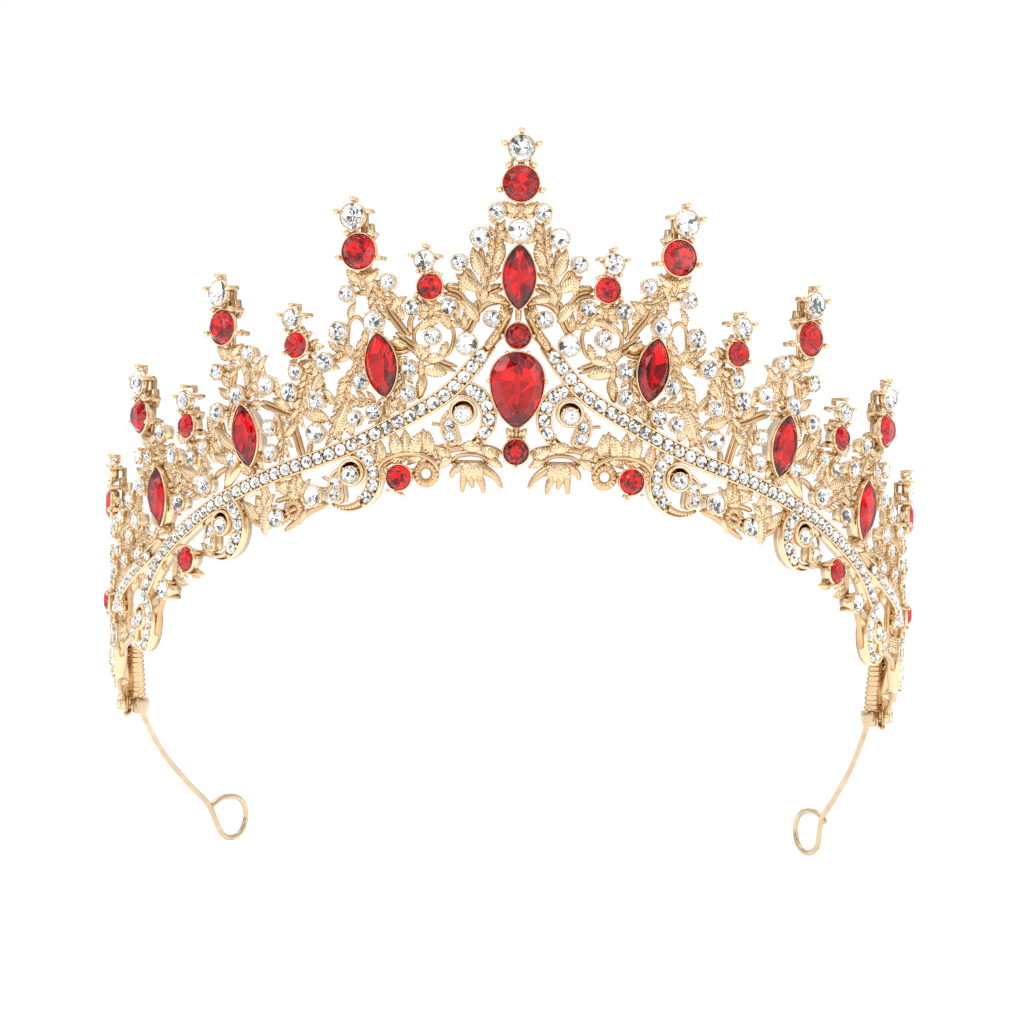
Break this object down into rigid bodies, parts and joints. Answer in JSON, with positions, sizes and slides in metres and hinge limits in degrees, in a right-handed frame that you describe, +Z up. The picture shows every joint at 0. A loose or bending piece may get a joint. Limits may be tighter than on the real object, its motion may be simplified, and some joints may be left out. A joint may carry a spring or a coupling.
{
  "type": "tiara",
  "caption": "Openwork front tiara with rising spires, claw-set red and clear stones, and two springy wire arms that end in loops for ribbon or hair pins.",
  "frame": {"origin": "on the upright axis of the ring that the tiara is bent to, level with the lowest point of the centre front, where the wearer's head holds it", "axes": "+Z up along the spires, -Y out of the centre front, +X towards the wearer's left arm of the tiara"},
  "size_m": [0.1686, 0.1385, 0.1471],
  "materials": {
    "gilt_casting": "bright pale gold plate",
    "gilt_wire": "satin pale gold plate",
    "red_stone": "faceted, foil backed",
    "clear_stone": "faceted, foil backed"
  },
  "bodies": {
    "root": {"arm_wire_left": "gilt_wire", "arm_wire_right": "gilt_wire", "crimp_tab_left": "gilt_wire", "crimp_tab_right": "gilt_wire", "lower_crystal_left_1": "clear_stone", "lower_crystal_left_2": "clear_stone", "lower_crystal_right_1": "clear_stone", "lower_crystal_right_2": "clear_stone", "lower_ruby_left_1": "red_stone", "lower_ruby_left_2": "red_stone", "lower_ruby_left_3": "red_stone", "lower_ruby_right_1": "red_stone", "lower_ruby_right_2": "red_stone", "lower_ruby_right_3": "red_stone", "marquise_0": "red_stone", "marquise_left_1": "red_stone", "marquise_left_2": "red_stone", "marquise_left_3": "red_stone", "marquise_right_1": "red_stone", "marquise_right_2": "red_stone", "marquise_right_3": "red_stone", "openwork_casting": "gilt_casting", "pear_stone": "red_stone", "ruby_above_pear": "red_stone", "ruby_below_pear": "red_stone", "short_spire_crystal_left_1": "clear_stone", "short_spire_crystal_left_2": "clear_stone", "short_spire_crystal_left_3": "clear_stone", "short_spire_crystal_right_1": "clear_stone", "short_spire_crystal_right_2": "clear_stone", "short_spire_crystal_right_3": "clear_stone", "short_spire_ruby_left_1": "red_stone", "short_spire_ruby_left_2": "red_stone", "short_spire_ruby_left_3": "red_stone", "short_spire_ruby_right_1": "red_stone", "short_spire_ruby_right_2": "red_stone", "short_spire_ruby_right_3": "red_stone", "tall_spire_crystal_0": "clear_stone", "tall_spire_crystal_left_1": "clear_stone", "tall_spire_crystal_left_2": "clear_stone", "tall_spire_crystal_left_3": "clear_stone", "tall_spire_crystal_left_4": "clear_stone", "tall_spire_crystal_right_1": "clear_stone", "tall_spire_crystal_right_2": "clear_stone", "tall_spire_crystal_right_3": "clear_stone", "tall_spire_crystal_right_4": "clear_stone", "tall_spire_ruby_0": "red_stone", "tall_spire_ruby_left_1": "red_stone", "tall_spire_ruby_left_2": "red_stone", "tall_spire_ruby_left_3": "red_stone", "tall_spire_ruby_left_4": "red_stone", "tall_spire_ruby_right_1": "red_stone", "tall_spire_ruby_right_2": "red_stone", "tall_spire_ruby_right_3": "red_stone", "tall_spire_ruby_right_4": "red_stone"}
  },
  "joints": []
}
